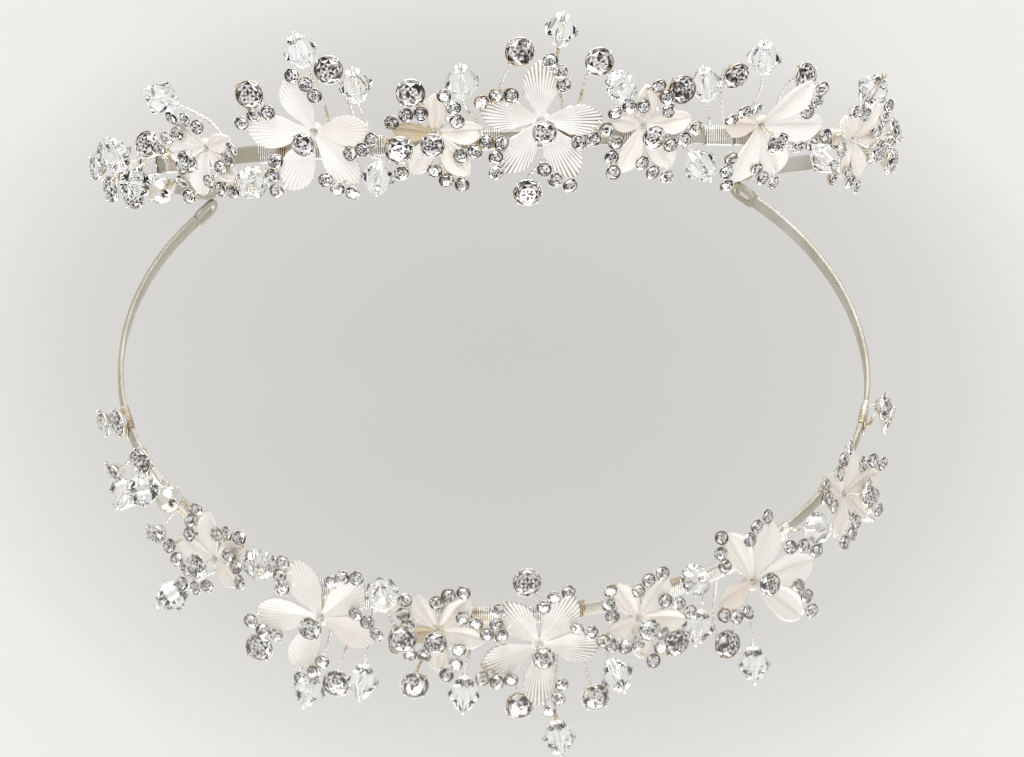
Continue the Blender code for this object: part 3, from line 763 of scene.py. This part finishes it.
def cut_stone(bm, seat, axis, size, folds, dark):
    """Foiled stone: girdle painted dark, a crown in tiers with a low table, its facets painted light or dark as
    painted reflection, and a point underneath.
    """
    layer = bm.faces.layers.float.get("tone")
    matrix = facing(axis, seat) @ Matrix.Rotation(dice.uniform(0, math.pi), 4, "Z")
    rings = [corner_ring(bm, matrix, radius * size, height * size, folds, shift)
             for radius, height, shift in STONE_TIERS]
    cut = []
    for index in range(len(rings) - 1):
        shift_a, shift_b = STONE_TIERS[index][2], STONE_TIERS[index + 1][2]
        faces = ring_faces(bm, rings[index], rings[index + 1], shift_a, shift_b)
        if index < GIRDLE_TIERS:
            for face in faces:
                face[layer] = GIRDLE_TONE
        else:
            cut += faces
    foot = bm.verts.new(matrix @ Vector((0, 0, STONE_POINT * size)))
    table = bm.verts.new(matrix @ Vector((0, 0, STONE_TABLE * size)))
    for i in range(folds):
        j = (i + 1) % folds
        bm.faces.new((rings[0][j], rings[0][i], foot))[layer] = UNDER_TONE
        cut.append(bm.faces.new((rings[-1][i], rings[-1][j], table)))
    for index, face in enumerate(cut):
        share = ODD_DARK * dark if index % 2 else EVEN_DARK * dark
        if dice.random() < share:
            face[layer] = dice.uniform(*DARK_TONES)
        else:
            face[layer] = dice.uniform(*LIGHT_TONES)
        if dice.random() < FLASH_SHARE:
            face[layer] = dice.uniform(*FLASH_TONES)


def make_stone(name, seat, axis, size, material, dark, replaced=None):
    bm = bmesh.new()
    bm.faces.layers.float.new("tone")
    cut_stone(bm, seat, axis, size, LARGE_FOLDS, dark)
    finish_piece(name, bm, material, "root", smooth=False, replaced=replaced)


def make_bead(name, material):
    """Glass double cone with long facets, pierced along its axis."""
    middle, axis = bead_axis(name)
    matrix = facing(axis, middle)
    bm = bmesh.new()
    half = BEAD_LENGTH / 2
    tiers = ((BEAD_BORE, half, 0.0), (BEAD_END_RADIUS, half, 0.0), (BEAD_RADIUS, BEAD_BELT * half, 0.5),
             (BEAD_RADIUS, -BEAD_BELT * half, 0.5), (BEAD_END_RADIUS, -half, 0.0), (BEAD_BORE, -half, 0.0))
    rings = [corner_ring(bm, matrix, radius, height, BEAD_SIDES, shift) for radius, height, shift in tiers]
    for (first, second), (tier_a, tier_b) in zip(zip(rings, rings[1:]), zip(tiers, tiers[1:])):
        ring_faces(bm, first, second, tier_a[2], tier_b[2])
    ring_faces(bm, rings[-1], rings[0], 0.0, 0.0)
    finish_piece(name + "_glass", bm, material, name, smooth=False, replaced=name)


def petal_half_width(share, widest):
    """Half width of a petal in petal lengths: narrow claw, widest past the middle, pointed tip."""
    rise, fall = PETAL_RISE, PETAL_FALL
    peak = rise / (rise + fall)
    top = peak ** rise * (1 - peak) ** fall
    body = widest * share ** rise * max(1 - share, 0) ** fall / top
    return body + CLAW_WIDTH * (1 - share) ** 2


def add_petal(bm, matrix, turn, length, blush_and_shade, grooved):
    """One petal's upper face: grooved like a fan, or smooth and hollow with a standing rim."""
    arch, arch_fall, arch_place = PETAL_ARCH
    petal_layer = bm.verts.layers.float_vector.get("petal")
    groove_layer = bm.verts.layers.float.get("grooved")
    slope = math.tan(math.radians(PETAL_CONE))
    radial = Vector((math.cos(math.radians(turn)), math.sin(math.radians(turn)), 0))
    across = Vector((-radial.y, radial.x, 0))
    lean = dice.uniform(-PETAL_LEAN, PETAL_LEAN)
    widest = GROOVED_WIDTH if grooved > 0 else SPOON_WIDTH
    rows = []
    for i in range(PETAL_ROWS + 1):
        share = i / PETAL_ROWS
        half = petal_half_width(share, widest) * length
        row = []
        for j in range(PETAL_COLUMNS + 1):
            side = 2 * j / PETAL_COLUMNS - 1
            reach = (PETAL_ROOT + (1 - PETAL_ROOT) * share) * length
            fan = side * half / (reach * GROOVE_FAN)
            bend = (arch - arch_fall * (share - arch_place) ** 2 + lean * share) * length
            shallow = min(1.0, 3.0 * share) * min(1.0, 4.0 * (1 - share))
            if grooved > 0:
                keel = -GROOVED_HOLLOW * half * (1 - abs(side)) ** 2 * (1 - share)
                hollow = GROOVED_HOLLOW * half * side * side
                relief = grooved * GROOVE_DEPTH * shallow * math.cos(2 * math.pi * GROOVES * fan)
            else:
                keel = -SPOON_HOLLOW * half * max(0.0, 1 - SPOON_KEEL * abs(side))
                hollow = SPOON_HOLLOW * half * side * side
                relief = SPOON_RIM * shallow * max(0.0, abs(side) - RIM_START) / RIM_WIDTH
            height = reach * slope + hollow + keel + bend + relief
            spot = radial * reach + across * half * side + Vector((0, 0, height))
            vertex = bm.verts.new(matrix @ spot)
            vertex[petal_layer] = (fan, share, blush_and_shade * (1.1 - 0.3 * share))
            vertex[groove_layer] = grooved
            row.append(vertex)
        rows.append(row)
    for first, second in zip(rows, rows[1:]):
        for j in range(PETAL_COLUMNS):
            bm.faces.new((first[j], first[j + 1], second[j + 1], second[j]))


def petal_mesh():
    bm = bmesh.new()
    bm.verts.layers.float_vector.new("petal")
    bm.verts.layers.float.new("grooved")
    return bm


def make_heart(name, matrix, blush_and_shade, pearl):
    """The raised ring in the middle of a flower that its wire comes out of."""
    bm = petal_mesh()
    layer = bm.verts.layers.float_vector.get("petal")
    lathe(bm, [(radius * MM, height * MM) for radius, height in HEART], matrix)
    for vertex in bm.verts:
        vertex[layer] = (0, 0, blush_and_shade)
    finish_piece(name + "_heart", bm, pearl, "root")


def make_flower(name, petals, pearl, silver, stone):
    """A flower's petals and raised ring, and the small stones in cups on struts along each petal."""
    seat, axis = stone_seat("centre_stone_" + name[-1])
    matrix = facing(axis, seat - axis * STAMEN)
    bm = petal_mesh()
    for turn, length, blush_and_shade in petals:
        add_petal(bm, matrix, turn, length * MM, blush_and_shade, GROOVED.get(name, 0.0))
    flower = finish_piece(name + "_petals", bm, pearl, "root", replaced=name)
    thick = flower.modifiers.new("thickness", "SOLIDIFY")
    thick.thickness = PETAL_THICKNESS
    thick.offset = -1
    # the ring takes the first petal's tint, so on flower_3 it is painted golden tan too, as painted shade
    make_heart(name, matrix, petals[0][2], pearl)
    cups = bmesh.new()
    stones = bmesh.new()
    stones.faces.layers.float.new("tone")
    slope = math.tan(math.radians(PETAL_CONE))
    for turn, length, _ in petals:
        petal = matrix @ Matrix.Rotation(math.radians(turn), 4, "Z")
        for past, aside in BUD_SPOTS:
            reach = (length + past) * MM
            across = aside * MM
            spot = petal @ Vector((reach, -across, math.hypot(reach, across) * slope + BUD_LIFT))
            nod = Vector((dice.uniform(-BUD_NOD, BUD_NOD), dice.uniform(-BUD_NOD, BUD_NOD), 1)).normalized()
            way = (matrix.to_3x3() @ nod).normalized()
            cup(cups, spot, way, SMALL_STONE)
            cut_stone(stones, spot, way, SMALL_STONE, SMALL_FOLDS, SMALL_DARK)
            root = petal @ Vector((min(reach, STRUT_ROOT * length * MM), 0, reach * slope - STRUT_DROP))
            strut = [root, root.lerp(spot, 0.5), spot - way * STRUT_END * SMALL_STONE]
            tube(cups, strut, [STRUT_RADIUS] * len(strut), STRUT_SIDES)
    finish_piece(name + "_small_cups", cups, silver, "root")
    finish_piece(name + "_small_stones", stones, stone, "root", smooth=False)


# ---------------------------------------------------------------- stage

def make_floor():
    """A polished floor at the foot of the tiara, which mirrors it; its colour is greyer in an oval round the
    middle, as painted shade.
    """
    bm = bmesh.new()
    bmesh.ops.create_grid(bm, x_segments=1, y_segments=1, size=FLOOR_SIZE)
    mesh = bpy.data.meshes.new("floor")
    bm.to_mesh(mesh)
    bm.free()
    floor = bpy.data.objects.new("floor", mesh)
    floor.location = (0, 0, cad_low.z)
    bpy.context.scene.collection.objects.link(floor)
    material, tree, shader = new_material("polished_floor")
    mapping = tree.nodes.new("ShaderNodeMapping")
    mapping.vector_type = "TEXTURE"
    mapping.inputs["Location"].default_value = FLOOR_SHADE_PLACE
    mapping.inputs["Scale"].default_value = FLOOR_SHADE_SIZE
    tree.links.new(tree.nodes.new("ShaderNodeTexCoord").outputs["Object"], mapping.inputs["Vector"])
    square = tree.nodes.new("ShaderNodeVectorMath")
    square.operation = "DOT_PRODUCT"
    tree.links.new(mapping.outputs["Vector"], square.inputs[0])
    tree.links.new(mapping.outputs["Vector"], square.inputs[1])
    # painted shade: greyer in an oval round the middle, lighter towards the edges
    shade = ramp(tree, square.outputs["Value"], (
        (0.0, (0.86, 0.85, 0.83)), (0.12, (0.875, 0.865, 0.85)), (0.25, (1.0, 1.0, 0.99))))
    tree.links.new(shade, shader.inputs["Base Color"])
    shader.inputs["Metallic"].default_value = FLOOR_METALLIC
    shader.inputs["Roughness"].default_value = FLOOR_ROUGHNESS
    mesh.materials.append(material)


def make_world():
    """A pale room with a greyer backdrop behind the tiara, which the floor throws back."""
    world = bpy.data.worlds.new("studio")
    world.use_nodes = True
    tree = world.node_tree
    background = tree.nodes["Background"]
    toward = tree.nodes.new("ShaderNodeVectorMath")
    toward.operation = "DOT_PRODUCT"
    tree.links.new(tree.nodes.new("ShaderNodeTexCoord").outputs["Generated"], toward.inputs[0])
    toward.inputs[1].default_value = BACKDROP_WAY
    shade = ramp(tree, toward.outputs["Value"], (
        (0.80, (0.920, 0.915, 0.900)), (0.9945, (1.03, 1.02, 1.00)), (1.0, (0.800, 0.792, 0.772))))
    tree.links.new(shade, background.inputs["Color"])
    background.inputs["Strength"].default_value = WORLD_STRENGTH
    bpy.context.scene.world = world


def make_light(name, place, size, power):
    """A round area light that looks at the origin."""
    data = bpy.data.lights.new(name, "AREA")
    data.shape = "DISK"
    data.size = size
    data.energy = power
    light = bpy.data.objects.new(name, data)
    light.location = place
    light.rotation_mode = "QUATERNION"
    light.rotation_quaternion = (-Vector(place)).to_track_quat("-Z", "Y")
    bpy.context.scene.collection.objects.link(light)


def make_camera():
    data = bpy.data.cameras.new("camera")
    data.sensor_width = CAMERA_SENSOR
    data.lens = CAMERA_LENS
    camera = bpy.data.objects.new("camera", data)
    camera.location = CAMERA_PLACE
    camera.rotation_euler = [math.radians(angle) for angle in CAMERA_TURN]
    bpy.context.scene.collection.objects.link(camera)
    bpy.context.scene.camera = camera


make_camera()
make_world()
for light, (place, size, power) in LIGHTS.items():
    make_light(light, place, size, power)
make_floor()
bpy.context.scene.view_settings.view_transform = "Standard"

band_metal = satin_silver()
wire_metal = bright_silver()
pearl = pearl_petal()
stone_glass = foiled_glass()
bead_glass = clear_glass()
COIL_ANGLES = {wire: coil_angle(wire) for wire in WIRES}
END_SEATS = {wire: end_seats(wire) for wire, ends in WIRES.items() if "end" in ends}

make_band(band_metal)
for wire, ends in WIRES.items():
    make_wire(wire, ends, wire_metal)
for flower, petals in FLOWERS.items():
    make_flower(flower, petals, pearl, wire_metal, stone_glass)
    seat, axis = stone_seat("centre_stone_" + flower[-1])
    make_stone("centre_stone_" + flower[-1] + "_cut", seat, axis, CENTRE_CHATON, stone_glass, CENTRE_DARK,
               "centre_stone_" + flower[-1])
for index in range(1, CHATON_COUNT + 1):
    seat, axis = stone_seat(f"chaton_{index}")
    make_stone(f"chaton_{index}_cut", seat, axis, CHATON, stone_glass, CHATON_DARK, f"chaton_{index}")
for wire, seats in END_SEATS.items():
    for side, (seat, axis) in enumerate(seats, 1):
        make_stone(f"{wire}_end_stone_{side}", seat, axis, END_CHATON, stone_glass, END_DARK)
for index in range(1, BEAD_COUNT + 1):
    make_bead(f"bead_{index}", bead_glass)
